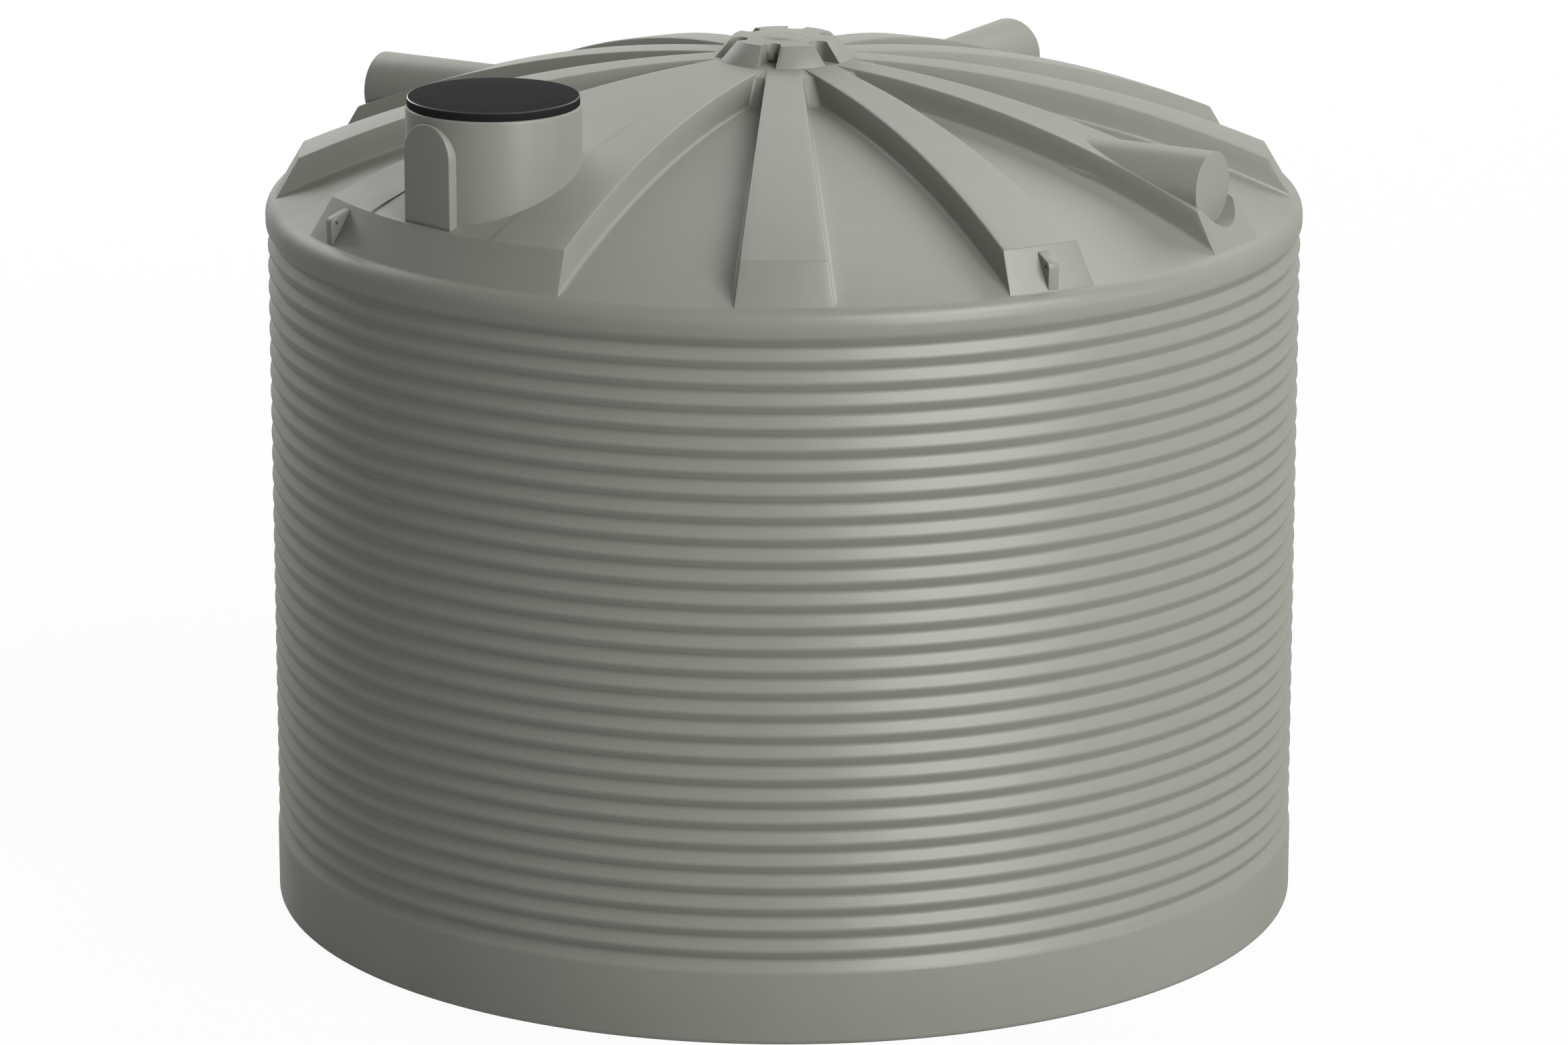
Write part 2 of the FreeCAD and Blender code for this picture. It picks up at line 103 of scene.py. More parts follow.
def relief(height: Socket, depth: float) -> bpy.types.Node:
    """Adds a bump of some depth.

    Args:
        height: Socket with the relief's noise.
        depth: Depth of the relief.

    Returns:
        The bump node.
    """
    tree = height.id_data
    bump = tree.nodes.new("ShaderNodeBump")
    bump.inputs["Distance"].default_value = depth
    tree.links.new(height, bump.inputs["Height"])
    return bump


def seen_directly(tree: bpy.types.NodeTree) -> Socket:
    """Factor that is 1 for what the camera sees directly, in gloss or through glass.

    Args:
        tree: Node tree that takes the nodes.

    Returns:
        The socket with the factor.
    """
    path = tree.nodes.new("ShaderNodeLightPath")
    total = path.outputs["Is Camera Ray"]
    for other in ("Is Glossy Ray", "Is Transmission Ray"):
        either = tree.nodes.new("ShaderNodeMath")
        either.operation = "MAXIMUM"
        tree.links.new(total, either.inputs[0])
        tree.links.new(path.outputs[other], either.inputs[1])
        total = either.outputs["Value"]
    return total


@dataclass(frozen=True)
class MouldedFinish:
    """Moulded polyethylene with a faint mottle, a fine grain and a satin gloss."""

    name: str
    slot: Slot
    colour: Colour
    mottle_colour: Colour
    mottle_scale: float
    grain_scale: float
    grain_depth: float
    ripple_scale: float
    ripple_depth: float
    roughness: tuple[float, float]
    edge_on_roughness: float
    sheen_level: float
    mottle_detail: float = 4.0
    grain_detail: float = 2.0
    ripple_detail: float = 1.0
    edge_on_range: tuple[float, float] = (0.25, 0.75)
    refraction: float = 1.5

    def mottled_colour(self, mottle: Socket) -> Socket:
        """Adds the colour, which drifts between two tones.

        Args:
            mottle: Socket with the mottle's noise.

        Returns:
            The socket with the colour.
        """
        tree = mottle.id_data
        blend = tree.nodes.new("ShaderNodeMix")
        blend.data_type = "RGBA"
        blend.inputs["A"].default_value = (*self.colour, 1.0)
        blend.inputs["B"].default_value = (*self.mottle_colour, 1.0)
        tree.links.new(mottle, blend.inputs["Factor"])
        return blend.outputs["Result"]

    def uneven_gloss(self, mottle: Socket) -> Socket:
        """Adds the roughness, which follows the mottle and is duller where it is seen edge-on.

        Args:
            mottle: Socket with the mottle's noise.

        Returns:
            The socket with the roughness.
        """
        tree = mottle.id_data
        gloss = tree.nodes.new("ShaderNodeMapRange")
        gloss.inputs["To Min"].default_value = self.roughness[0]
        gloss.inputs["To Max"].default_value = self.roughness[1]
        tree.links.new(mottle, gloss.inputs["Value"])
        edge_on = tree.nodes.new("ShaderNodeLayerWeight")
        dulling = tree.nodes.new("ShaderNodeMapRange")
        dulling.inputs["From Min"].default_value = self.edge_on_range[0]
        dulling.inputs["From Max"].default_value = self.edge_on_range[1]
        dulling.inputs["To Max"].default_value = self.edge_on_roughness
        tree.links.new(edge_on.outputs["Facing"], dulling.inputs["Value"])
        total = tree.nodes.new("ShaderNodeMath")
        total.operation = "ADD"
        tree.links.new(gloss.outputs["Result"], total.inputs[0])
        tree.links.new(dulling.outputs["Result"], total.inputs[1])
        return total.outputs["Value"]

    def material(self) -> bpy.types.Material:
        """Builds the node material, or finds it if it is built already.

        Returns:
            The material of this finish.
        """
        found = bpy.data.materials.get(self.name)
        if found:
            return found
        material = bpy.data.materials.new(self.name)
        material.use_nodes = True
        nodes = material.node_tree.nodes
        links = material.node_tree.links
        shader = nodes["Principled BSDF"]
        shader.inputs["IOR"].default_value = self.refraction
        shader.inputs["Specular IOR Level"].default_value = self.sheen_level
        place = nodes.new("ShaderNodeTexCoord").outputs["Object"]
        mottle = noise(place, self.mottle_scale, self.mottle_detail)
        grain = noise(place, self.grain_scale, self.grain_detail)
        ripple = noise(place, self.ripple_scale, self.ripple_detail)
        links.new(self.mottled_colour(mottle), shader.inputs["Base Color"])
        links.new(self.uneven_gloss(mottle), shader.inputs["Roughness"])
        rippled = relief(ripple, self.ripple_depth)
        grained = relief(grain, self.grain_depth)
        links.new(rippled.outputs["Normal"], grained.inputs["Normal"])
        links.new(grained.outputs["Normal"], shader.inputs["Normal"])
        return material


STONE = MouldedFinish(
    name="stone_polyethylene", slot=Slot.STONE,
    colour=(0.29, 0.29, 0.256), mottle_colour=(0.31, 0.31, 0.274), mottle_scale=6.0,
    grain_scale=420.0, grain_depth=0.0003, ripple_scale=9.0, ripple_depth=0.0012,
    roughness=(0.26, 0.33), edge_on_roughness=0.45, sheen_level=0.5)
BLACK = MouldedFinish(
    name="black_polyethylene", slot=Slot.BLACK,
    colour=(0.02, 0.0178, 0.0185), mottle_colour=(0.0245, 0.0218, 0.0226), mottle_scale=14.0,
    grain_scale=520.0, grain_depth=0.0004, ripple_scale=12.0, ripple_depth=0.0008,
    roughness=(0.4, 0.5), edge_on_roughness=0.5, sheen_level=0.03)
# Finish of the lid's round rim edge: its colour is lighter than the lid's, a painted highlight
# line; its higher sheen and lower roughness are real gloss.
HIGHLIGHT_RIM_BLACK = MouldedFinish(
    name="highlight_rim_black_polyethylene", slot=Slot.BLACK,
    colour=(0.03, 0.0278, 0.0285), mottle_colour=(0.0345, 0.0318, 0.0326), mottle_scale=14.0,
    grain_scale=520.0, grain_depth=0.0001, ripple_scale=12.0, ripple_depth=0.0008,
    roughness=(0.33, 0.39), edge_on_roughness=0.0, sheen_level=0.18)


@dataclass(frozen=True)
class TankForm:
    """Sizes that several sub-assemblies share, and the curves that follow from them."""

    radius: float = 1.8
    band_top: float = 0.2545
    groove_count: int = 29
    groove_pitch: float = 0.0748
    rim_height: float = 0.0348
    rim_stand: float = 0.003
    seam_drop: float = 0.012
    shoulder: float = 0.065
    dome: float = 4.243
    rib_rise: float = 0.094
    rib_width_inner: float = 0.116
    rib_width_outer: float = 0.286
    rib_end_run: float = 0.081
    rib_draft: float = 7.2
    hub_radius: float = 0.240

    @property
    def rim_radius(self) -> float:
        """Radius of the smooth rim."""
        return self.radius + self.rim_stand

    @property
    def rim_top(self) -> float:
        """Height at which the rim turns into the shoulder."""
        return self.band_top + self.groove_count * self.groove_pitch + self.rim_height

    @property
    def seam(self) -> float:
        """Height at which the roof meets the wall."""
        return self.rim_top - self.seam_drop

    @property
    def shoulder_centre(self) -> float:
        """Distance of the shoulder's arc centre from the tank's axis."""
        return self.rim_radius - self.shoulder

    @property
    def dome_centre(self) -> float:
        """Height of the centre of the roof's spheres."""
        reach = self.dome - self.shoulder
        return self.rim_top - math.sqrt(reach ** 2 - self.shoulder_centre ** 2)

    @property
    def roof_edge(self) -> float:
        """Radius at which the roof runs into the shoulder."""
        return self.shoulder_centre * self.dome / (self.dome - self.shoulder)

    @property
    def rib_end(self) -> float:
        """Radius at which a rib's top ends."""
        return self.roof_edge - self.rib_end_run

    @property
    def rib_end_top(self) -> float:
        """Height at which a rib's top ends."""
        return self.rib_top(self.rib_end)

    @property
    def hub_seat(self) -> float:
        """Height of the flat seat under the hub cap."""
        return self.rib_top(self.hub_radius)

    @property
    def side_lean(self) -> float:
        """Sideways run of a rib's side for each unit of height."""
        return math.tan(math.radians(self.rib_draft))

    def panel(self, radius: float) -> float:
        """Height of the roof panels at a distance from the axis."""
        return self.dome_centre + math.sqrt(self.dome ** 2 - radius ** 2)

    def rib_top(self, radius: float) -> float:
        """Height of the rib tops at a distance from the axis."""
        return self.dome_centre + math.sqrt((self.dome + self.rib_rise) ** 2 - radius ** 2)

    def end_slope(self, radius: float) -> float:
        """Height of a rib's sloping end face."""
        fall = self.rib_end_top - self.panel(self.roof_edge)
        return self.rib_end_top - fall * (radius - self.rib_end) / self.rib_end_run

    def rib_half_width(self, radius: float, height: float) -> float:
        """Half width of a rib, which widens outwards and downwards.

        Args:
            radius: Distance from the tank's axis.
            height: Height at which the rib is measured.

        Returns:
            Half the width.
        """
        drop = self.hub_seat - self.rib_end_top
        gain = (self.rib_width_outer - self.rib_width_inner) / 2 - self.side_lean * drop
        taper = gain / (self.rib_end - self.hub_radius)
        widening = taper * (radius - self.hub_radius) + self.side_lean * (self.hub_seat - height)
        return self.rib_width_inner / 2 + widening


FORM = TankForm()


def turn_to(azimuth: float) -> Matrix:
    """Rotation that takes the radial direction +X to an azimuth in degrees."""
    return Matrix.Rotation(math.radians(azimuth - 90.0), 4, "Z")


def turn(mesh: BMesh, azimuth: float) -> None:
    """Turns a mesh from the radial direction +X to an azimuth in degrees."""
    bmesh.ops.transform(mesh, matrix=turn_to(azimuth), verts=mesh.verts[:])


def everything(mesh: BMesh) -> list[BMVert | BMEdge | BMFace]:
    """All vertices, edges and faces of a mesh."""
    return mesh.verts[:] + mesh.edges[:] + mesh.faces[:]


def chain(mesh: BMesh, points: Sequence[Spot]) -> list[BMVert]:
    """Draws a line through points of the upright radial section.

    Args:
        mesh: The mesh that takes the line.
        points: Radius and height of each corner.

    Returns:
        The corner vertices, in order.
    """
    corners = [mesh.verts.new((radius, 0.0, height)) for radius, height in points]
    for start, end in zip(corners, corners[1:]):
        mesh.edges.new((start, end))
    return corners


def round_corners(mesh: BMesh, corners: Sequence[BMVert], offset: float, segments: int) -> None:
    """Rounds corners of a line or a flat face.

    Args:
        mesh: The mesh that holds them.
        corners: Vertices to round.
        offset: Distance from a corner at which its rounding starts.
        segments: Edges in each rounding.
    """
    bmesh.ops.bevel(mesh, geom=list(corners), offset=offset, offset_type="OFFSET",
                    segments=segments, profile=0.5, affect="VERTICES", material=-1)


def round_edges(mesh: BMesh, edges: Sequence[BMEdge], offset: float, segments: int) -> None:
    """Rounds edges of a closed form.

    Args:
        mesh: The mesh that holds them.
        edges: Edges to round.
        offset: Width of the rounding on each side.
        segments: Faces across the rounding.
    """
    bmesh.ops.bevel(mesh, geom=list(edges), offset=offset, offset_type="OFFSET",
                    segments=segments, profile=0.5, affect="EDGES", material=-1,
                    clamp_overlap=True)


def close_holes(mesh: BMesh) -> None:
    """Fills every open border of a mesh with a face."""
    bmesh.ops.holes_fill(mesh, edges=[edge for edge in mesh.edges if edge.is_boundary])


def spin_full(mesh: BMesh, steps: int, axis: Axis = Axis.UPRIGHT,
              centre: tuple[float, float, float] = (0.0, 0.0, 0.0)) -> None:
    """Spins the whole line in the mesh into a closed round form with outward faces.

    Args:
        mesh: The mesh that holds the line.
        steps: Faces round the axis.
        axis: Direction of the axis.
        centre: A point on the axis.
    """
    bmesh.ops.spin(mesh, geom=mesh.verts[:] + mesh.edges[:], cent=centre, axis=axis.value,
                   angle=math.tau, steps=steps, use_merge=True)
    bmesh.ops.remove_doubles(mesh, verts=mesh.verts[:], dist=WELD_GAP)
    bmesh.ops.recalc_face_normals(mesh, faces=mesh.faces[:])


def prism(outline: Sequence[Vector], rounded: dict[int, tuple[float, int]],
          depth: Vector) -> BMesh:
    """Extrudes a flat outline with some rounded corners.

    Args:
        outline: Corners of the flat outline.
        rounded: Offset and segments of the rounding at some of the corners.
        depth: Extrusion vector.

    Returns:
        A closed solid.
    """
    mesh = bmesh.new()
    corners = [mesh.verts.new(corner) for corner in outline]
    mesh.faces.new(corners)
    for number, (offset, segments) in rounded.items():
        round_corners(mesh, [corners[number]], offset, segments)
    grown = bmesh.ops.extrude_face_region(mesh, geom=mesh.faces[:])["geom"]
    lifted = [item for item in grown if isinstance(item, BMVert)]
    bmesh.ops.translate(mesh, verts=lifted, vec=depth)
    bmesh.ops.recalc_face_normals(mesh, faces=mesh.faces[:])
    return mesh


def as_object(mesh: BMesh, name: str) -> bpy.types.Object:
    """Puts a mesh into the scene as an object at the origin.

    Args:
        mesh: The finished mesh, which is freed.
        name: Name of the object.

    Returns:
        The new object.
    """
    data = bpy.data.meshes.new(name)
    mesh.to_mesh(data)
    mesh.free()
    thing = bpy.data.objects.new(name, data)
    bpy.context.scene.collection.objects.link(thing)
    return thing


def bake_modifiers(thing: bpy.types.Object) -> None:
    """Replaces an object's mesh by the result of its modifiers.

    Args:
        thing: The object.
    """
    bpy.context.view_layer.update()
    graph = bpy.context.evaluated_depsgraph_get()
    result = bpy.data.meshes.new_from_object(thing.evaluated_get(graph))
    thing.modifiers.clear()
    thing.data = result


def combine(thing: bpy.types.Object, forms: Sequence[BMesh], how: Combine) -> None:
    """Cuts closed forms out of an object, or joins them to it.

    Args:
        thing: The object to change.
        forms: Closed forms, which are freed.
        how: What is done with the forms.
    """
    for mesh in forms:
        form = as_object(mesh, "form")
        step = thing.modifiers.new("combine", "BOOLEAN")
        step.operation = how.value
        step.solver = "EXACT"
        step.object = form
        bake_modifiers(thing)
        bpy.data.objects.remove(form)


def settled(data: bpy.types.Mesh) -> BMesh:
    """Copies a carved mesh in an order that follows from the places of its corners alone.

    Carving leaves an order that differs from run to run, and merging and rounding follow it.

    Args:
        data: The carved mesh.

    Returns:
        The same form, the same in each run.
    """
    carved = bmesh.new()
    carved.from_mesh(data)
    places = sorted(carved.verts, key=lambda corner: [round(c, PLACE_DIGITS) for c in corner.co])
    rank = {corner: number for number, corner in enumerate(places)}
    outlines = []
    for face in carved.faces:
        outline = [rank[corner] for corner in face.verts]
        first = outline.index(min(outline))
        outlines.append(outline[first:] + outline[:first])
    mesh = bmesh.new()
    corners = [mesh.verts.new(corner.co) for corner in places]
    for outline in sorted(outlines):
        mesh.faces.new([corners[number] for number in outline])
    carved.free()
    return mesh


def dress(thing: bpy.types.Object, finish: MouldedFinish, nodes: Sequence[str]) -> None:
    """Shades a piece, gives it its finish and ties it to the frame.

    Args:
        thing: The piece.
        finish: Its material.
        nodes: CAD nodes that it stands for.
    """
    data = thing.data
    data.shade_smooth()
    data.set_sharp_from_angle(angle=math.radians(SHARP_ANGLE))
    data.materials.clear()
    data.materials.append(finish.material())
    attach(thing, BODY)
    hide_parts(*nodes)
    LOG.info("%s: %d faces, stands for %d nodes", thing.name, len(data.polygons), len(nodes))


@dataclass(frozen=True)
class TankBody:
    """Round wall with its base band, ring grooves and rim, closed by the floor."""

    groove_depth: float = 0.026
    groove_round: float = 0.009
    groove_segments: int = 3
    base_round: float = 0.020
    base_segments: int = 5
    inner_radius: float = 1.755
    floor: float = 0.025
    steps: int = 168
    wall_segments: int = 12

    def build(self) -> None:
        """Spins the wall's section and dresses it."""
        mesh = bmesh.new()
        ground = chain(mesh, [(0.0, 0.0), (FORM.radius, 0.0)])
        rings: list[Spot] = [(FORM.radius, FORM.band_top)]
        for groove in range(FORM.groove_count):
            foot = FORM.band_top + groove * FORM.groove_pitch
            last = groove == FORM.groove_count - 1
            rings.append((FORM.radius - self.groove_depth, foot + FORM.groove_pitch / 2))
            rings.append((FORM.rim_radius if last else FORM.radius, foot + FORM.groove_pitch))
        grooves = chain(mesh, rings)
        inside = chain(mesh, [(FORM.rim_radius, FORM.seam), (self.inner_radius, FORM.seam),
                              (self.inner_radius, self.floor), (0.0, self.floor)])
        mesh.edges.new((ground[-1], grooves[0]))
        mesh.edges.new((grooves[-1], inside[0]))
        round_corners(mesh, grooves, self.groove_round, self.groove_segments)
        round_corners(mesh, ground[1:], self.base_round, self.base_segments)
        spin_full(mesh, self.steps)
        wall = [f"wall_segment_{number + 1:02d}" for number in range(self.wall_segments)]
        dress(as_object(mesh, "tank_body"), STONE, wall + ["floor_plate"])


def evenly(start: float, end: float, steps: int) -> list[float]:
    """Even steps from start to end, without the start."""
    return [start + (end - start) * (step + 1) / steps for step in range(steps)]


def smooth_min(first: float, second: float, reach: float) -> float:
    """Lower of two heights, rounded where they meet."""
    overlap = max(reach - abs(first - second), 0.0) / reach
    return min(first, second) - overlap * overlap * reach / 4


def bend(start: Vector, corner: Vector, end: Vector, steps: int) -> list[Vector]:
    """Points of a rounding between two tangent points, without the first.

    Args:
        start: First tangent point.
        corner: Sharp corner that is rounded off.
        end: Second tangent point.
        steps: Number of points.

    Returns:
        The points, the last of them at end.
    """
    return [start * (1 - share) ** 2 + corner * (2 * share * (1 - share)) + end * share ** 2
            for share in evenly(0.0, 1.0, steps)]


@dataclass(frozen=True)
class RoofRow:
    """One ring of the roof: its radius, the rib-top height and the valley-floor height."""

    radius: float
    crest: float
    floor: float


@dataclass(frozen=True)
class RibFlank:
    """Rounded side of a rib at one ring: its top corner, both ends and its points."""

    corner: Vector
    start: Vector
    end: Vector
    points: list[Vector]


@dataclass(frozen=True)
class MouldedRoof:
    """Domed roof with its ribs, valleys and hatch platform in one moulding."""

    centre_radius: float = 0.236
    edge_round: float = 0.0065
    end_round: float = 0.003
    foot_round: float = 0.018
    ramp_start: float = 0.242
    ramp_end: float = 0.312
    ramp_drop: float = 0.011
    ramp_round: float = 0.002
    wall_slope: float = 50.6
    wall_foot_round: float = 0.012
    wall_foot: float = 0.385
    shell: float = 0.008
    deck_level_radius: float = 1.35
    deck_tilt: float = 0.014
    deck_proud: float = 0.002
    deck_rise: float = 0.02
    deck_step_width: float = 0.003
    scoop_gap: float = 0.0005
    rib_spacing: float = 30.0
    rib_azimuths: tuple[int, ...] = (0, 30, 60, 90, 120, 150, 180, 210, 240, 270)
    boss_azimuths: tuple[int, ...] = (60, 150, 240)
    platform_azimuth: float = -45.0

    # Rings of the mesh: their distances from the bends, and their numbers between those.
    ramp_margin: float = 0.008
    ramp_offsets: tuple[float, ...] = (-0.002, -0.0005, 0.0005, 0.002, 0.008)
    wall_foot_margins: tuple[float, float] = (0.012, 0.016)
    end_margin: float = 0.012
    end_offsets: tuple[float, ...] = (-0.005, -0.0022, -0.0008, 0.0008, 0.0022, 0.005)
    edge_margin: float = 0.012
    edge_offsets: tuple[float, ...] = (-0.007, -0.003, 0.0)
    ramp_rows: int = 3
    wall_rows: int = 4
    wall_foot_rows: int = 5
    panel_rows: int = 22
    slope_rows: int = 5
    shoulder_rows: int = 10

    # Points across a ring, and the most that a rounding may take of the face beside it.
    top_points: int = 5
    edge_points: int = 3
    side_points: int = 2
    foot_points: int = 6
    floor_points: int = 6
    deck_points: int = 5
    deck_rib_points: int = 6
    foot_share_of_valley: float = 0.85
    foot_share_of_side: float = 0.7
    edge_share_of_side: float = 0.25
    step_share_of_deck: float = 1 / 6
    step_margin: float = 4.0

    def valley(self, radius: float) -> float:
        """Height of a valley's floor: a ramp by the hub, a sloping wall, then the roof panel.

        Args:
            radius: Distance from the tank's axis.

        Returns:
            The height.
        """
        along = (radius - self.ramp_start) / (self.ramp_end - self.ramp_start)
        ramp = FORM.rib_top(radius) - self.ramp_drop * along
        fall = math.tan(math.radians(self.wall_slope)) * (radius - self.ramp_end)
        wall = FORM.rib_top(self.ramp_end) - self.ramp_drop - fall
        upper = smooth_min(ramp, wall, self.ramp_round)
        return -smooth_min(-upper, -FORM.panel(radius), self.wall_foot_round)

    def row(self, radius: float) -> RoofRow:
        """Ring of the roof inside the shoulder.

        Args:
            radius: Distance from the tank's axis.

        Returns:
            The ring.
        """
        ridge = smooth_min(FORM.rib_top(radius), FORM.end_slope(radius), self.end_round)
        crest = max(ridge, FORM.panel(radius))
        return RoofRow(radius, crest, min(crest, self.valley(radius)))

    def rows(self) -> list[RoofRow]:
        """All rings from the crown to the rim.

        Returns:
            The rings, from the inside out.
        """
        before_foot = self.wall_foot - self.wall_foot_margins[0]
        after_foot = self.wall_foot + self.wall_foot_margins[1]
        radii = [self.centre_radius, self.ramp_start]
        radii += evenly(self.ramp_start, self.ramp_end - self.ramp_margin, self.ramp_rows)
        radii += [self.ramp_end + offset for offset in self.ramp_offsets]
        radii += evenly(radii[-1], before_foot, self.wall_rows)
        radii += evenly(before_foot, after_foot, self.wall_foot_rows)
        radii += evenly(after_foot, FORM.rib_end - self.end_margin, self.panel_rows)
        radii += [FORM.rib_end + offset for offset in self.end_offsets]
        radii += evenly(radii[-1], FORM.roof_edge - self.edge_margin, self.slope_rows)
        radii += [FORM.roof_edge + offset for offset in self.edge_offsets]
        found = [self.row(radius) for radius in radii]
        for angle in evenly(math.acos(FORM.roof_edge / FORM.dome), 0.0, self.shoulder_rows):
            radius = FORM.shoulder_centre + FORM.shoulder * math.cos(angle)
            height = FORM.rim_top + FORM.shoulder * math.sin(angle)
            found.append(RoofRow(radius, height, height))
        found.append(RoofRow(FORM.rim_radius, FORM.seam, FORM.seam))
        return found

    def flank(self, row: RoofRow, half_valley: float) -> RibFlank:
        """Side of a rib at one ring, with its rounded edge and foot.

        Args:
            row: The ring.
            half_valley: Angle from the rib's axis to the valley's middle, in radians.

        Returns:
            The side, as distances from the rib's axis and heights.
        """
        lean = Vector((FORM.side_lean, -1.0)).normalized()
        corner_half = math.acos(-lean.x) / 2
        corner = Vector((FORM.rib_half_width(row.radius, row.crest), row.crest))
        foot = Vector((FORM.rib_half_width(row.radius, row.floor), row.floor))
        side = (corner - foot).length
        valley = row.radius * (half_valley - math.asin(foot.x / row.radius))
        foot_run = min(self.foot_round / math.tan(corner_half),
                       self.foot_share_of_valley * valley, self.foot_share_of_side * side)
        edge_run = min(self.edge_round / math.tan(corner_half), self.edge_share_of_side * side)
        start = corner - Vector((edge_run, 0.0))
        side_start = corner + lean * edge_run
        side_end = foot - lean * foot_run
        end = foot + Vector((foot_run, 0.0))
        points = bend(start, corner, side_start, self.edge_points)
        points += [side_start.lerp(side_end, share) for share in evenly(0.0, 1.0, self.side_points)]
        points += bend(side_end, foot, end, self.foot_points)
        return RibFlank(corner, start, end, points)

    def deck(self, row: RoofRow, inner: float, outer: float) -> list[Spot]:
        """Points across half the hatch platform, with its slightly raised middle.

        Args:
            row: The ring.
            inner: Angle of the step between the raised middle and the rib, in radians.
            outer: Angle at which the rib's rounded edge starts, in radians.

        Returns:
            Angles from the platform's middle, and heights.
        """
        step = min(self.deck_step_width / 2 / row.radius, inner * self.step_share_of_deck)
        proud = min(self.deck_proud,
                    self.deck_tilt * (self.deck_level_radius - row.radius),
                    self.deck_rise * (row.radius - FORM.hub_radius))
        raised = row.crest + (proud if row.radius < FORM.rib_end else 0.0)
        margin = self.step_margin * step
        middle = [0.0] + evenly(0.0, inner - margin, self.deck_points) + [inner - step]
        rib = [inner + step, inner + margin]
        rib += evenly(inner + margin, outer, self.deck_rib_points)
        return [(angle, raised) for angle in middle] + [(angle, row.crest) for angle in rib]

    def section(self, row: RoofRow, half_angle: float, end_angle: float) -> list[Vector]:
        """Points of one ring across half a sector, from its middle to the valley's middle.

        Args:
            row: The ring.
            half_angle: Angle from the sector's middle to the axis of its outermost rib, in radians.
            end_angle: Angle from the sector's middle to the valley's middle, in radians.

        Returns:
            The points, with the sector's middle along +X.
        """
        radius = row.radius

        def angle_at(offset: float) -> float:
            """Angle of a point beside the rib's axis."""
            return half_angle + math.asin(offset / radius)

        flank = self.flank(row, end_angle - half_angle)
        if half_angle:
            points = self.deck(row, angle_at(-flank.corner.x), angle_at(flank.start.x))
        else:
            offsets = [0.0] + evenly(0.0, flank.start.x, self.top_points)
            points = [(angle_at(offset), row.crest) for offset in offsets]
        points += [(angle_at(spot.x), spot.y) for spot in flank.points]
        floor = evenly(angle_at(flank.end.x), end_angle, self.floor_points)
        points += [(angle, row.floor) for angle in floor]
        return [Vector((radius * math.cos(angle), radius * math.sin(angle), height))
                for angle, height in points]

    def sector(self, half_angle: float, end_angle: float) -> BMesh:
        """One sector of the roof, with its middle along +X.

        Args:
            half_angle: Angle from the sector's middle to the axis of its outermost rib, in degrees.
            end_angle: Angle from the sector's middle to the valley's middle, in degrees.

        Returns:
            The open surface of the sector.
        """
        rings = [self.section(row, math.radians(half_angle), math.radians(end_angle))
                 for row in self.rows()]
        along = len(rings) - 1
        across = len(rings[0]) - 1
        half_grid = 0.5
        mesh = bmesh.new()
        bmesh.ops.create_grid(mesh, x_segments=along, y_segments=across, size=half_grid)
        for vertex in mesh.verts:
            ring = rings[round((vertex.co.x + half_grid) * along)]
            vertex.co = ring[round((vertex.co.y + half_grid) * across)]
        bmesh.ops.mirror(mesh, geom=everything(mesh), axis="Y", merge_dist=WELD_GAP)
        return mesh

    def open_underside(self, roof: bpy.types.Object, hatch: "Hatch") -> None:
        """Takes away the flat face that closed the roof for carving, and the opening's wall.

        Args:
            roof: The carved roof, still a closed form.
            hatch: Sizes of the hatch.
        """
        mesh = bmesh.new()
        mesh.from_mesh(roof.data)
        axis = (turn_to(hatch.azimuth) @ Vector((hatch.centre, 0.0, 0.0))).xy
        spare = [face for face in mesh.faces
                 if all(vertex.co.z < FORM.seam + NEAR for vertex in face.verts)
                 or (abs(face.normal.z) < hatch.upright_limit
                     and all(abs((vertex.co.xy - axis).length - hatch.bore) < NEAR
                             for vertex in face.verts))]
        bmesh.ops.delete(mesh, geom=spare, context="FACES")
        mesh.to_mesh(roof.data)
        mesh.free()

    def scoop(self, azimuth: float, boss: "OutletBoss") -> BMesh:
        """Round hollow in front of a boss's face.

        Args:
            azimuth: Azimuth of the boss, in degrees.
            boss: Sizes of the boss.

        Returns:
            A closed cutter.
        """
        mesh = bmesh.new()
        back = boss.face - boss.edge_round
        front = FORM.rim_radius + FORM.shoulder
        top = boss.height + boss.radius + self.scoop_gap
        chain(mesh, [(back, boss.height), (back, top), (front, top), (front, boss.height)])
        spin_full(mesh, boss.steps, Axis.RADIAL, (0.0, 0.0, boss.height))
        turn(mesh, azimuth)
        return mesh

    def closed_form(self) -> BMesh:
        """Joins the sectors into one closed form.

        Returns:
            The roof before it is carved.
        """
        roof = self.sector(0.0, self.rib_spacing / 2)
        turn(roof, self.rib_azimuths[0])
        copies = len(self.rib_azimuths) - 1
        bmesh.ops.spin(roof, geom=everything(roof), cent=(0, 0, 0), axis=Axis.UPRIGHT.value,
                       angle=math.radians(copies * self.rib_spacing), steps=copies,
                       use_duplicate=True)
        platform = self.sector(self.rib_spacing / 2, self.rib_spacing)
        turn(platform, self.platform_azimuth)
        joined = bpy.data.meshes.new("platform_sector")
        platform.to_mesh(joined)
        platform.free()
        roof.from_mesh(joined)
        bpy.data.meshes.remove(joined)
        bmesh.ops.remove_doubles(roof, verts=roof.verts[:], dist=SECTOR_WELD_GAP)
        close_holes(roof)
        bmesh.ops.recalc_face_normals(roof, faces=roof.faces[:])
        return roof

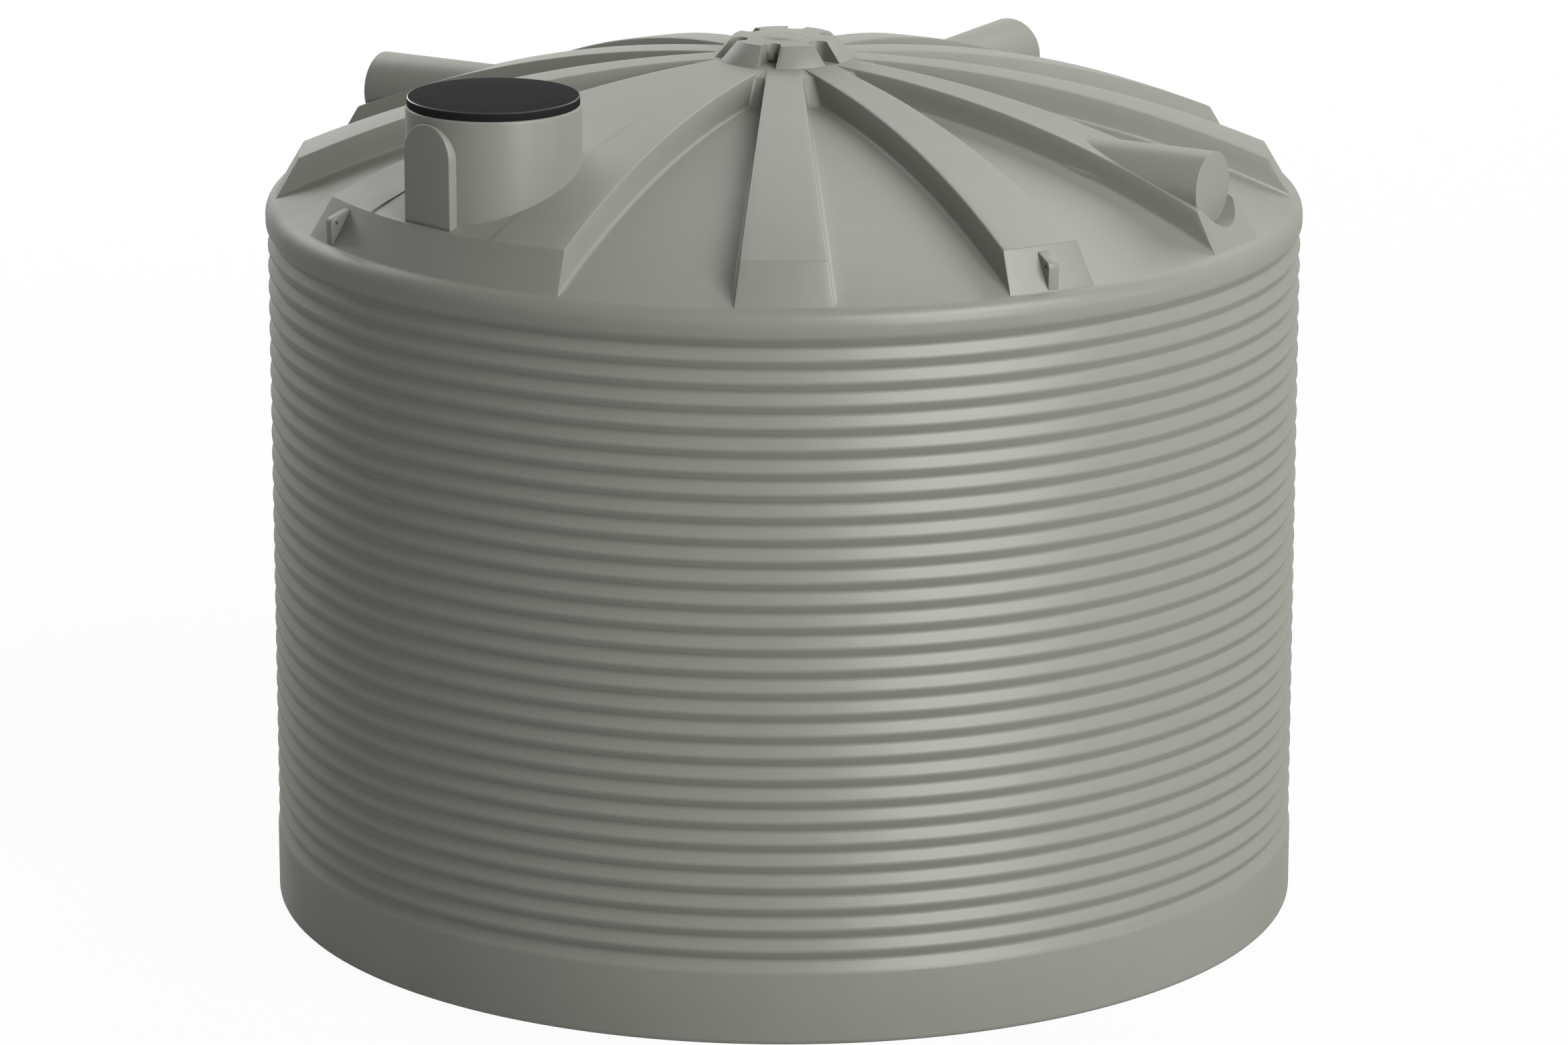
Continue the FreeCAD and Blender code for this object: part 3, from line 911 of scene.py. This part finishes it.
    def nodes(self) -> list[str]:
        """CAD nodes that the roof stands for.

        Returns:
            Their names.
        """
        half = self.rib_spacing / 2
        names = [f"roof_panel_{azimuth + half:03.0f}" for azimuth in self.rib_azimuths]
        names.append("roof_panel_345")
        names += [f"roof_rib_{azimuth:03d}" for azimuth in self.rib_azimuths
                  if azimuth not in self.boss_azimuths]
        names += [f"boss_rib_{azimuth:03d}" for azimuth in self.boss_azimuths]
        return names + ["roof_crown", "hatch_platform"]

    def build(self, boss: "OutletBoss", hatch: "Hatch") -> None:
        """Carves the scoops and the hatch opening, thickens the shell and dresses it.

        Args:
            boss: Sizes of the blank outlet bosses.
            hatch: Sizes of the hatch.
        """
        roof = as_object(self.closed_form(), "tank_roof")
        scoops = [self.scoop(azimuth, boss) for azimuth in self.boss_azimuths]
        combine(roof, scoops + [hatch.opening()], Combine.CUT)
        self.open_underside(roof, hatch)
        wall = roof.modifiers.new("shell", "SOLIDIFY")
        wall.thickness = self.shell
        wall.offset = -1.0
        bake_modifiers(roof)
        dress(roof, STONE, self.nodes())


@dataclass(frozen=True)
class OutletBoss:
    """Blank round outlet boss at the outer end of a rib."""

    radius: float = 0.1245
    setback: float = 0.021
    rise: float = 0.051
    length: float = 0.56
    edge_round: float = 0.003
    edge_segments: int = 3
    sink: float = 0.006
    steps: int = 64

    @property
    def face(self) -> float:
        """Distance of the flat face from the tank's axis."""
        return FORM.rib_end - self.setback

    @property
    def height(self) -> float:
        """Height of the boss's axis."""
        return FORM.rib_end_top + self.rise

    def build(self, azimuth: int) -> None:
        """Makes the boss at an azimuth; its foot ends under the roof's panels.

        Args:
            azimuth: Azimuth of its rib, in degrees.
        """
        mesh = bmesh.new()
        back = self.face - self.length
        top = self.height + self.radius
        corners = chain(mesh, [(back, self.height), (back, top), (self.face, top),
                               (self.face, self.height)])
        round_corners(mesh, corners[2:3], self.edge_round, self.edge_segments)
        spin_full(mesh, self.steps, Axis.RADIAL, (0.0, 0.0, self.height))
        near = Vector((back, 0.0, FORM.panel(back) - self.sink))
        far = Vector((self.face, 0.0, FORM.panel(self.face) - self.sink))
        slope = far - near
        below = Vector((slope.z, 0.0, -slope.x))
        bmesh.ops.bisect_plane(mesh, geom=everything(mesh), plane_co=near, plane_no=below,
                               clear_outer=True)
        close_holes(mesh)
        turn(mesh, azimuth)
        dress(as_object(mesh, f"outlet_boss_{azimuth:03d}"), STONE, [])


@dataclass(frozen=True)
class HubCap:
    """Conical hub cap with slots round it and a low button on its top."""

    foot_radius: float = 0.240
    top_radius: float = 0.179
    height: float = 0.068
    slots: int = 6
    slot_width: float = 0.066
    slot_end: float = 0.130
    slot_azimuth: float = -15.0
    slot_round_share: float = 0.98
    slot_segments: int = 8
    peg_size: float = 0.024
    peg_height: float = 0.028
    peg_reach: float = 0.012
    peg_shift: float = -0.009
    peg_lift_share: float = 0.35
    button_radius: float = 0.078
    button_rise: float = 0.007
    button_rim_share: tuple[float, float] = (0.87, 0.82)
    button_flat_share: float = 0.5
    button_round: float = 0.004
    button_segments: int = 3
    edge_round: float = 0.003
    edge_segments: int = 3
    edge_angle: float = 35.0
    merge_gap: float = 0.002
    steps: int = 96

    def slot(self, azimuth: float) -> BMesh:
        """Form of one slot, round at its inner end, which reaches past the cone all round.

        Args:
            azimuth: Azimuth of the slot, in degrees.

        Returns:
            A closed cutter.
        """
        half = self.slot_width / 2
        low = FORM.hub_seat - self.height
        outer = 2 * self.foot_radius
        outline = [Vector((self.slot_end, -half, low)), Vector((outer, -half, low)),
                   Vector((outer, half, low)), Vector((self.slot_end, half, low))]
        inner_end = (self.slot_round_share * half, self.slot_segments)
        mesh = prism(outline, {0: inner_end, 3: inner_end}, Vector((0.0, 0.0, 3 * self.height)))
        turn(mesh, azimuth)
        return mesh

    def peg(self, azimuth: float) -> BMesh:
        """Small block on the inner wall of a slot.

        Args:
            azimuth: Azimuth of the slot, in degrees.

        Returns:
            A closed form.
        """
        left = self.peg_shift - self.peg_size / 2
        right = self.peg_shift + self.peg_size / 2
        back = self.slot_end - self.peg_size
        front = self.slot_end + self.peg_reach
        low = FORM.hub_seat + self.peg_lift_share * self.peg_height
        outline = [Vector((back, left, low)), Vector((front, left, low)),
                   Vector((front, right, low)), Vector((back, right, low))]
        mesh = prism(outline, {}, Vector((0.0, 0.0, self.peg_height)))
        turn(mesh, azimuth)
        return mesh

    def cone(self) -> BMesh:
        """Spins the cone with its button.

        Returns:
            A closed form.
        """
        top = FORM.hub_seat + self.height
        button_top = top + self.button_rise
        rim_out, rim_up = self.button_rim_share
        mesh = bmesh.new()
        corners = chain(mesh, [
            (0.0, FORM.hub_seat), (self.foot_radius, FORM.hub_seat), (self.top_radius, top),
            (self.button_radius, top),
            (rim_out * self.button_radius, top + rim_up * self.button_rise),
            (self.button_flat_share * self.button_radius, button_top), (0.0, button_top)])
        round_corners(mesh, corners[3:6], self.button_round, self.button_segments)
        spin_full(mesh, self.steps)
        return mesh

    def soften_edges(self, hub: bpy.types.Object) -> None:
        """Merges corners too close for a rounding, and rounds the sharp edges.

        Args:
            hub: The carved hub.
        """
        merged = settled(hub.data)
        bmesh.ops.remove_doubles(merged, verts=merged.verts[:], dist=self.merge_gap)
        merged.to_mesh(hub.data)
        merged.free()
        softened = hub.modifiers.new("softened_edges", "BEVEL")
        softened.width = self.edge_round
        softened.segments = self.edge_segments
        softened.limit_method = "ANGLE"
        softened.angle_limit = math.radians(self.edge_angle)
        bake_modifiers(hub)

    def build(self) -> None:
        """Carves the slots, joins the pegs, rounds the edges and dresses the hub."""
        hub = as_object(self.cone(), "hub_cap_moulding")
        step = 360.0 / self.slots
        azimuths = [self.slot_azimuth + number * step for number in range(self.slots)]
        combine(hub, [self.slot(azimuth) for azimuth in azimuths], Combine.CUT)
        combine(hub, [self.peg(azimuth) for azimuth in azimuths], Combine.JOIN)
        self.soften_edges(hub)
        dress(hub, STONE, ["hub_cap"])


@dataclass(frozen=True)
class Hatch:
    """Hatch neck with its arched outlet pad and its lid."""

    azimuth: float = -45.0
    setback: float = 0.023
    radius: float = 0.294
    wall: float = 0.016
    height: float = 0.369
    sink: float = 0.03
    lip_round: float = 0.009
    lip_segments: int = 5
    inner_lip_round: float = 0.0027
    inner_lip_segments: int = 3
    pad_setback: float = 0.0125
    pad_width: float = 0.223
    pad_top_gap: float = 0.024
    pad_sink: float = 0.012
    pad_round: float = 0.005
    pad_segments: int = 3
    arch_share: float = 0.995
    arch_segments: int = 14
    lid_radius: float = 0.289
    lid_height: float = 0.031
    lid_plate: float = 0.009
    lid_round: float = 0.004
    lid_segments: int = 5
    lid_under_round: float = 0.0012
    lid_under_segments: int = 2
    lid_crown: float = 0.002
    lid_crown_middle: tuple[float, float] = (0.5, 0.25)
    # Slopes of the lid's rim faces that take the painted highlight finish.
    highlight_rim_slopes: tuple[float, float] = (0.02, 0.99)
    collar_gap: float = 0.004
    collar_wall: float = 0.008
    collar_depth: float = 0.018
    upright_limit: float = 0.1
    steps: int = 128

    @property
    def centre(self) -> float:
        """Distance of the hatch's axis from the tank's axis."""
        return FORM.rib_end - self.setback - self.radius

    @property
    def bore(self) -> float:
        """Radius of the opening inside the neck."""
        return self.radius - self.wall

    @property
    def top(self) -> float:
        """Height of the neck's top."""
        return FORM.rib_end_top + self.height

    def placed(self, mesh: BMesh) -> BMesh:
        """Moves a form from the tank's axis to the hatch's axis and turns it to its azimuth.

        Args:
            mesh: The form.

        Returns:
            The same form.
        """
        bmesh.ops.translate(mesh, verts=mesh.verts[:], vec=(self.centre, 0.0, 0.0))
        turn(mesh, self.azimuth)
        return mesh

    def opening(self) -> BMesh:
        """Form of the opening through the platform, as wide as the neck's bore.

        Returns:
            A closed cutter.
        """
        low = FORM.rim_top - FORM.rib_rise
        mesh = bmesh.new()
        chain(mesh, [(0.0, low), (self.bore, low), (self.bore, self.top), (0.0, self.top)])
        spin_full(mesh, self.steps)
        return self.placed(mesh)

    def build_neck(self) -> None:
        """Spins the neck's wall with its rounded lip."""
        foot = FORM.rib_end_top - self.sink
        mesh = bmesh.new()
        corners = chain(mesh, [(self.bore, foot), (self.radius, foot), (self.radius, self.top),
                               (self.bore, self.top)])
        mesh.edges.new((corners[-1], corners[0]))
        round_corners(mesh, corners[2:3], self.lip_round, self.lip_segments)
        round_corners(mesh, corners[3:], self.inner_lip_round, self.inner_lip_segments)
        spin_full(mesh, self.steps)
        dress(as_object(self.placed(mesh), "hatch_neck_moulding"), STONE, ["hatch_neck"])

    def build_pad(self) -> None:
        """Extrudes the arched pad from inside the neck's wall to its flat face."""
        half = self.pad_width / 2
        face = FORM.rib_end - self.pad_setback
        root = self.centre + math.sqrt(self.radius ** 2 - half ** 2) - self.wall / 2
        foot = FORM.rib_end_top - self.pad_sink
        top = self.top - self.pad_top_gap
        outline = [Vector((root, -half, foot)), Vector((root, half, foot)),
                   Vector((root, half, top)), Vector((root, -half, top))]
        arch = (self.arch_share * half, self.arch_segments)
        mesh = prism(outline, {2: arch, 3: arch}, Vector((face - root, 0.0, 0.0)))
        front = [edge for edge in mesh.edges
                 if all(vertex.co.x > face - NEAR for vertex in edge.verts)]
        round_edges(mesh, front, self.pad_round, self.pad_segments)
        turn(mesh, self.azimuth)
        dress(as_object(mesh, "outlet_pad_moulding"), STONE, ["outlet_pad"])

    def build_lid(self) -> None:
        """Spins the lid with its slightly crowned top and locating collar; its round edge takes a
        lighter, glossier finish, a painted highlight.
        """
        collar = self.bore - self.collar_gap
        inner = collar - self.collar_wall
        low = self.top - self.collar_depth
        lid_top = self.top + self.lid_height
        rim_top = lid_top - self.lid_crown
        under = lid_top - self.lid_plate
        middle, middle_fall = self.lid_crown_middle
        mesh = bmesh.new()
        corners = chain(mesh, [
            (0.0, lid_top), (middle * self.lid_radius, lid_top - middle_fall * self.lid_crown),
            (self.lid_radius, rim_top), (self.lid_radius, self.top), (collar, self.top),
            (collar, low), (inner, low), (inner, under), (0.0, under)])
        round_corners(mesh, corners[2:3], self.lid_round, self.lid_segments)
        round_corners(mesh, corners[3:4], self.lid_under_round, self.lid_under_segments)
        spin_full(mesh, self.steps)
        lid = as_object(self.placed(mesh), "hatch_lid_moulding")
        dress(lid, BLACK, ["hatch_lid"])
        lid.data.materials.append(HIGHLIGHT_RIM_BLACK.material())
        # The round edge's faces get the lighter finish: a painted highlight along the rim.
        steep, level = self.highlight_rim_slopes
        for face in lid.data.polygons:
            if face.center.z > rim_top - self.lid_round and steep < face.normal.z < level:
                face.material_index = 1


@dataclass(frozen=True)
class TieDownLug:
    """Three-cornered lug with a hole, on a rib's sloping end."""

    thickness: float = 0.040
    start: float = 0.018
    length: float = 0.137
    apex: float = 0.062
    stand: float = 0.048
    corner: float = 0.014
    corner_segments: int = 5
    hole_radius: float = 0.006
    hole_stand: float = 0.024
    hole_segments: int = 24
    edge_round: float = 0.0025
    edge_segments: int = 2
    edge_angle: float = 50.0
    sink: float = 0.010
    azimuths: tuple[int, ...] = (30, 120, 210, 300)

    def on_end(self, along: float, stand: float) -> Vector:
        """Point by its place on the rib's sloping end.

        Args:
            along: Distance down the slope.
            stand: Distance out from it.

        Returns:
            The point.
        """
        top = Vector((FORM.rib_end, 0.0, FORM.rib_end_top))
        foot = Vector((FORM.roof_edge, 0.0, FORM.panel(FORM.roof_edge)))
        down = (foot - top).normalized()
        out = Vector((-down.z, 0.0, down.x))
        return top + down * along + out * stand

    def blank(self) -> BMesh:
        """Extrudes the lug without its hole and rounds its edges.

        Returns:
            A closed form.
        """
        tail = self.start + self.length
        side = Vector((0.0, -self.thickness / 2, 0.0))
        outline = [self.on_end(self.start, -self.sink), self.on_end(self.start, 0.0),
                   self.on_end(self.start + self.apex, self.stand), self.on_end(tail, 0.0),
                   self.on_end(tail, -self.sink)]
        mesh = prism([corner + side for corner in outline],
                     {2: (self.corner, self.corner_segments)}, Vector((0.0, self.thickness, 0.0)))
        limit = math.radians(self.edge_angle)
        sharp = [edge for edge in mesh.edges if edge.calc_face_angle() > limit]
        round_edges(mesh, sharp, self.edge_round, self.edge_segments)
        return mesh

    def hole(self) -> BMesh:
        """Form of the hole through the lug.

        Returns:
            A closed cutter.
        """
        mesh = bmesh.new()
        bmesh.ops.create_cone(mesh, cap_ends=True, segments=self.hole_segments,
                              radius1=self.hole_radius, radius2=self.hole_radius,
                              depth=2 * self.thickness)
        place = Matrix.Translation(self.on_end(self.start + self.apex, self.hole_stand))
        sideways = Matrix.Rotation(math.pi / 2, 4, "X")
        bmesh.ops.transform(mesh, matrix=place @ sideways, verts=mesh.verts[:])
        return mesh

    def build(self, azimuth: int) -> None:
        """Drills the lug, turns it to its rib and dresses it.

        Args:
            azimuth: Azimuth of its rib, in degrees.
        """
        lug = as_object(self.blank(), f"tie_down_lug_moulding_{azimuth:03d}")
        combine(lug, [self.hole()], Combine.CUT)
        lug.data.transform(turn_to(azimuth))
        dress(lug, STONE, [f"tie_down_lug_{azimuth:03d}"])


@dataclass(frozen=True)
class Lamp:
    """Soft rectangular lamp, aimed at the middle of the tank."""

    name: str
    azimuth: float
    elevation: float
    power: float
    width: float = 15.0
    tall: float = 15.0
    distance: float = 30.0
    aim: tuple[float, float, float] = (0.0, 0.0, 1.6)

    def build(self) -> None:
        """Puts the lamp into the scene."""
        data = bpy.data.lights.new(self.name, "AREA")
        data.shape = "RECTANGLE"
        data.size = self.width
        data.size_y = self.tall
        data.energy = self.power
        lamp = bpy.data.objects.new(self.name, data)
        rise = math.radians(self.elevation)
        towards = turn_to(self.azimuth) @ Vector((math.cos(rise), 0.0, math.sin(rise)))
        lamp.location = Vector(self.aim) + towards * self.distance
        lamp.rotation_euler = towards.to_track_quat("Z", "Y").to_euler()
        lamp.visible_camera = False
        bpy.context.scene.collection.objects.link(lamp)


@dataclass(frozen=True)
class Studio:
    """Pale floor, white surroundings, soft lamps and the camera."""

    lens: float = 157.82
    sensor: float = 36.0
    camera_distance: float = 23.376
    camera_height: float = 7.8098
    camera_pitch: float = 15.5406
    camera_reach: float = 500.0
    floor_size: float = 120.0
    floor_colour: Colour = (0.38, 0.38, 0.38)
    floor_roughness: float = 0.9
    floor_white: float = 0.9
    floor_glow: float = 1.06
    lamps: tuple[Lamp, ...] = (
        Lamp("key", 44.0, 43.0, 4900.0, 21.4, 12.9),
        Lamp("low_front", 36.0, 14.0, 3200.0),
        Lamp("low_side", 72.0, 10.0, 800.0),
        Lamp("back_right", 160.0, 38.0, 2500.0),
        Lamp("back_right_side", 140.0, 38.0, 895.0),
        Lamp("back_left", -147.0, 20.0, 4100.0, 12.0, 8.0),
        Lamp("back_left_middle", -160.0, 22.0, 1540.0, 15.0, 10.7),
    )

    def build_world(self) -> None:
        """White surroundings that show, but leave the light on the object to the lamps."""
        world = bpy.data.worlds.new("studio")
        bpy.context.scene.world = world
        world.use_nodes = True
        tree = world.node_tree
        background = tree.nodes["Background"]
        background.inputs["Color"].default_value = WHITE
        tree.links.new(seen_directly(tree), background.inputs["Strength"])

    def floor_paint(self) -> bpy.types.Material:
        """Pale paint that shows nearly white and keeps a soft shadow.

        Returns:
            The floor's material.
        """
        material = bpy.data.materials.new("studio_floor_paint")
        material.use_nodes = True
        nodes = material.node_tree.nodes
        links = material.node_tree.links
        shader = nodes["Principled BSDF"]
        shader.inputs["Base Color"].default_value = (*self.floor_colour, 1.0)
        shader.inputs["Roughness"].default_value = self.floor_roughness
        shader.inputs["Specular IOR Level"].default_value = 0.0
        glow = nodes.new("ShaderNodeEmission")
        glow.inputs["Strength"].default_value = self.floor_glow
        share = nodes.new("ShaderNodeMath")
        share.operation = "MULTIPLY"
        share.inputs[1].default_value = self.floor_white
        links.new(seen_directly(material.node_tree), share.inputs[0])
        mix = nodes.new("ShaderNodeMixShader")
        links.new(share.outputs["Value"], mix.inputs["Fac"])
        links.new(shader.outputs["BSDF"], mix.inputs[1])
        links.new(glow.outputs["Emission"], mix.inputs[2])
        links.new(mix.outputs["Shader"], nodes["Material Output"].inputs["Surface"])
        return material

    def build_floor(self) -> None:
        """Lays the floor and gives it its paint."""
        mesh = bmesh.new()
        bmesh.ops.create_grid(mesh, x_segments=1, y_segments=1, size=self.floor_size / 2)
        floor = as_object(mesh, "studio_floor")
        floor.data.materials.append(self.floor_paint())

    def build_camera(self) -> None:
        """Puts the camera at the photograph's viewing angle."""
        data = bpy.data.cameras.new("camera")
        data.sensor_fit = "HORIZONTAL"
        data.sensor_width = self.sensor
        data.lens = self.lens
        data.clip_end = self.camera_reach
        camera = bpy.data.objects.new("camera", data)
        camera.location = (0.0, -self.camera_distance, self.camera_height)
        camera.rotation_euler = (math.radians(90.0 - self.camera_pitch), 0.0, 0.0)
        bpy.context.scene.collection.objects.link(camera)
        bpy.context.scene.camera = camera

    def build(self) -> None:
        """Builds the whole studio."""
        bpy.context.scene.view_settings.view_transform = "Standard"
        self.build_world()
        self.build_floor()
        self.build_camera()
        for lamp in self.lamps:
            lamp.build()


def main() -> None:
    """Builds every sub-assembly, then the studio."""
    logging.basicConfig(level=logging.INFO, format="%(name)s: %(message)s")
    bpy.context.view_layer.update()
    boss = OutletBoss()
    hatch = Hatch()
    roof = MouldedRoof()
    lug = TieDownLug()
    TankBody().build()
    roof.build(boss, hatch)
    for azimuth in roof.boss_azimuths:
        boss.build(azimuth)
    HubCap().build()
    hatch.build_neck()
    hatch.build_pad()
    hatch.build_lid()
    for azimuth in lug.azimuths:
        lug.build(azimuth)
    Studio().build()


if __name__ == "__main__":
    main()
